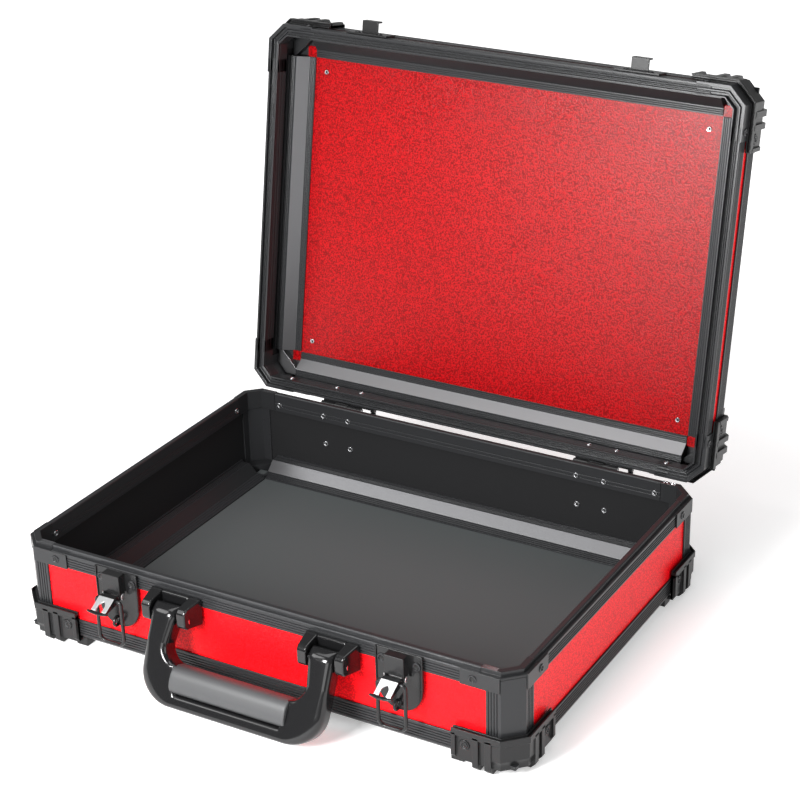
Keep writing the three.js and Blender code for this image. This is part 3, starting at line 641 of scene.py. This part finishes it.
def bail_points(x):
    """The middle line of a bail: two hooked ends, straight legs and a bar with round corners."""
    half, bend, length, corner = 12.0, 6.4, 40.5, 2.6
    top, low = np.linspace(np.pi / 2, 0, 9), np.linspace(0, -np.pi / 2, 13)
    leg = np.linspace(-8, -length + bend + 3, 6)
    right = np.vstack([
        [(5.7, 0), (8, 0)],
        np.stack([half - corner + corner * np.cos(top), -corner + corner * np.sin(top)], 1),
        np.stack([0 * leg + half, leg], 1),
        np.stack([half - bend + bend * np.cos(low), -length + bend + bend * np.sin(low)], 1),
        [(3, -length)],
    ])
    line = np.vstack([right, right[::-1] * [-1, 1]])
    return np.stack([line[:, 0] + x, 0 * line[:, 0] - D / 2 - 14, line[:, 1] - 21], 1)


def carried_x(profile, x0, x1):
    """A front-face profile (outward, z) carried along x."""
    profile = np.array(profile, float) * [-1, 1] - [D / 2, 0]
    return carried(profile, (x0, x1), (AXES[1], AXES[2], AXES[0]))


def strip(grid, normal, thick):
    """A bent sheet: a grid of points and the same grid set off along a normal, closed at its edge."""
    rows, cols = grid.shape[:2]
    n = rows * cols
    points = np.concatenate([grid.reshape(-1, 3), (grid + normal * thick).reshape(-1, 3)])
    near, index = np.array(quads(rows, cols)), np.arange(n).reshape(rows, cols)
    border = np.concatenate([index[0], index[1:, -1], index[-1, -2::-1], index[-2:0:-1, 0]])
    after = np.roll(border, -1)
    rim = np.stack([after, border, border + n, after + n], 1)
    return points, np.concatenate([near, near[:, ::-1] + n, rim]).tolist()


def lever_parts(x):
    """A pressed lever: arched fork on a channel with two cheeks, and a curled finger lip."""
    parts = []
    down = np.array([0, -12.0, -6.9]) / math.hypot(12.0, 6.9)
    proud = np.array([0, -6.9, 12.0]) / math.hypot(12.0, 6.9)
    top = np.array([x, -D / 2 - 16.0, -17.6])
    # the fork: each leg runs from the arch to the lip
    fall = 13.6 * np.linspace(0, 1, 14)[:, None]
    arch = 3.0 * np.sqrt(np.clip((fall - 4.5) / 3.5, 0, 1))
    across = arch + (7.3 - arch) * np.linspace(0, 1, 5)
    for s in (-1, 1):
        grid = top + fall[..., None] * down + s * across[..., None] * AXES[0]
        parts.append((*strip(grid, -proud, 1.3), 1))
    # root plate and cheeks
    points, faces = carried_x([(10.4, -17.7), (16, -17.7), (16, -19.0), (10.4, -19.0)], x - 7.3, x + 7.3)
    parts.append((points, faces, 0))
    cheek = [(5.2, -18.0), (16, -17.8), (28.0, -24.7), (28.2, -26.2), (19, -25.2), (10.4, -22.8), (5.2, -21.8)]
    for a, b in ((-7.45, -6.2), (6.2, 7.45)):
        points, faces = carried_x(cheek, x + a, x + b)
        parts.append((points, faces, 0))
    # lip: a wide strip that curls outward, lower in the middle
    u, a = np.linspace(-1, 1, 17)[:, None], np.linspace(0, 1, 5)
    out = 28.2 + (3.4 - 1.2 * u * u) * a
    height = -24.4 - 0.8 * (1 - u * u) * a + 0.5 * a * a
    grid = np.stack(np.broadcast_arrays(x + 9.9 * u, -D / 2 - out, height), -1)
    parts.append((*strip(grid, -AXES[2], 1.3), 0))
    for s in (-1, 1):
        hub = [(0, 0), (1.2, 0), (2.6, 0.1), (2.9, 0.5), (2.6, 0.9), (0, 1)]
        points, faces = lathe(hub, (x + s * 8.6, -D / 2 - LATCH_PIVOT[0], LATCH_PIVOT[1]), (s, 0, 0), 18)
        parts.append((points, faces, 1))
    return parts


def plate_parts(x):
    """Pressed latch plate with rolled side edges, a box housing, pivot ears and a padlock ring."""
    a, b, c, d = np.array([(-20.5, -26), (-20.5, -42), (-12, -52), (0, -52)], float)
    t = np.linspace(0, 1, 13)[:, None]
    curve = (1 - t) ** 3 * a + 3 * (1 - t) ** 2 * t * b + 3 * (1 - t) * t * t * c + t ** 3 * d
    outline = np.vstack([[(-20.5, 0.0)], curve])
    outline = np.vstack([outline, outline[-2::-1] * [-1, 1]])
    flat, faces = carried(outline, (-0.3, -1.8), (AXES[0], AXES[2], AXES[1]))
    flat = flat + np.array([x, -D / 2, 0])
    parts = [(flat, faces, 0)]
    for s in (-1, 1):
        rim = np.array([(20.5, 0.0), (20.5, -26), (19.9, -34), (18.9, -34), (19.3, -26), (19.3, 0.0)]) * [s, 1]
        edge, faces = carried(rim, (-1.6, -2.9), (AXES[0], AXES[2], AXES[1]))
        parts.append((edge + np.array([x, -D / 2, 0]), faces, 0))
    housing = [(1.5, -0.5), (10, -0.5), (10, -17), (8.8, -17), (8.8, -1.7), (1.5, -1.7)]
    parts.append((*carried_x(housing, x - 8.5, x + 8.5), 0))
    ear = [(1.5, -0.6), (9.9, -0.6), (9.9, -16.9), (9.3, -19.5), (8.6, -21.5), (6.5, -22.3), (4.4, -21.5)]
    ear += [(3.7, -19.5), (3.0, -17.0), (1.5, -16.8)]
    for a, b in ((-8.5, -7.3), (7.3, 8.5)):
        parts.append((*carried_x(ear, x + a, x + b), 0))
    pin = [(0, 0), (1.2, 0), (1.2, 16.2), (0, 16.2)]
    parts.append((*lathe(pin, (x - 8.1, -D / 2 - LATCH_PIVOT[0], LATCH_PIVOT[1]), (1, 0, 0), 16), 0))
    # padlock ring: an eye whose plate stands straight out
    a = (np.arange(28) * 2 * np.pi / 28)[:, None]
    b = np.arange(10) * 2 * np.pi / 10
    radius = 3.9 + 1.15 * np.cos(b)
    grid = np.broadcast_arrays(x + 1.4 * np.sin(b), -D / 2 - 6.1 - radius * np.cos(a), -45 + radius * np.sin(a))
    parts.append((np.stack(grid, -1).reshape(-1, 3), quads(28, 10, True, True), 0))
    return parts


for word, s in (("left", -1), ("right", 1)):
    x = s * LATCH_X
    points, faces = wire(bail_points(x), 1.58)
    piece(f"bail_wire_{word}", [(points, faces, 0)], (ENAMEL,), f"{word}_bail", [f"latch_bail_{word}"],
          smooth=True)
    piece(f"lever_fork_{word}", lever_parts(x), (ENAMEL, LEVER), f"{word}_lever", [f"latch_lever_{word}"],
          bevel=0.00035, segments=3)
    piece(f"plate_press_{word}", plate_parts(x), (ENAMEL,), "case", [f"latch_plate_{word}"],
          bevel=0.0005, segments=3)

# ---- stage --------------------------------------------------------------------------------------

world = bpy.data.worlds.new("studio")
bpy.context.scene.world = world
world.use_nodes = True
world.node_tree.nodes["Background"].inputs["Color"].default_value = (1, 1, 1, 1)
world.node_tree.nodes["Background"].inputs["Strength"].default_value = 0.22


def area(name, position, target, size, power):
    lamp = bpy.data.lights.new(name, "AREA")
    lamp.shape = "RECTANGLE"
    lamp.size, lamp.size_y = size
    lamp.energy = power
    obj = bpy.data.objects.new(name, lamp)
    bpy.context.scene.collection.objects.link(obj)
    obj.location = position
    obj.rotation_euler = (Vector(target) - Vector(position)).to_track_quat("-Z", "Y").to_euler()
    return obj


area("key", (-1.3, -1.3, 1.6), (0, 0, 0.1), (0.9, 0.9), 16)
area("top", (-0.25, 0.1, 2.2), (0, 0, 0.1), (2.2, 1.2), 28)
area("side", (1.9, -0.4, 0.9), (0, 0, 0.1), (0.7, 1.2), 12)
area("sheen", (-0.16, -1.1, 0.6), (0.17, 0.23, 0.37), (0.34, 0.34), 22)
area("low_front", (0.5, -2.2, 0.6), (0, 0, 0.1), (1.2, 0.5), 7)

floor_mesh = bpy.data.meshes.new("table_top")
reach = 40.0
table_corners = [(-reach, -reach, 0), (reach, -reach, 0), (reach, reach, 0), (-reach, reach, 0)]
floor_mesh.from_pydata(table_corners, [], [(0, 1, 2, 3)])
paper = material("pale_paper", (0.9, 0.9, 0.9), 0.6, 0.0, 60, 0.01)
paper.node_tree.nodes["Principled BSDF"].inputs["Emission Color"].default_value = (1, 1, 1, 1)
nodes, links = paper.node_tree.nodes, paper.node_tree.links
# the paper is lit evenly far off, and by the lamps near the case
distance = nodes.new("ShaderNodeVectorMath")
distance.operation = "LENGTH"
links.new(nodes["Texture Coordinate"].outputs["Object"], distance.inputs[0])
fade = nodes.new("ShaderNodeMapRange")
for socket, value in (("From Min", 0.45), ("From Max", 1.1), ("To Min", 0.36), ("To Max", 0.85)):
    fade.inputs[socket].default_value = value
links.new(distance.outputs["Value"], fade.inputs["Value"])
links.new(fade.outputs["Result"], nodes["Principled BSDF"].inputs["Emission Strength"])
floor_mesh.materials.append(paper)
floor = bpy.data.objects.new("table_top", floor_mesh)
bpy.context.scene.collection.objects.link(floor)
floor.location.z = -0.0003

# the camera looks down on the case from the front right, held almost level
az, el, roll = (math.radians(v) for v in (28.27, 26.15, -0.39))
AWAY, ASIDE, ABOVE = 1708.1, 93.61, 66.14     # from the case's middle at shoulder height
back = np.array([math.sin(az) * math.cos(el), -math.cos(az) * math.cos(el), math.sin(el)])
right = np.cross(-back, [0, 0, 1.0])
right /= np.linalg.norm(right)
up = np.cross(right, -back)
centre = back * AWAY + right * ASIDE + up * ABOVE
right_2 = right * math.cos(roll) + up * math.sin(roll)
up_2 = -right * math.sin(roll) + up * math.cos(roll)
lens = bpy.data.cameras.new("camera")
lens.sensor_width = 36
lens.lens = 91.44
lens.shift_x, lens.shift_y = -0.09636, 0.04514
camera = bpy.data.objects.new("camera", lens)
bpy.context.scene.collection.objects.link(camera)
turn = np.stack([right_2, up_2, back], 1)
spot = place(centre)
camera.matrix_world = Matrix.Translation(Vector(spot)) @ Matrix(turn.tolist()).to_4x4()
bpy.context.scene.camera = camera
bpy.context.scene.view_settings.view_transform = "Standard"
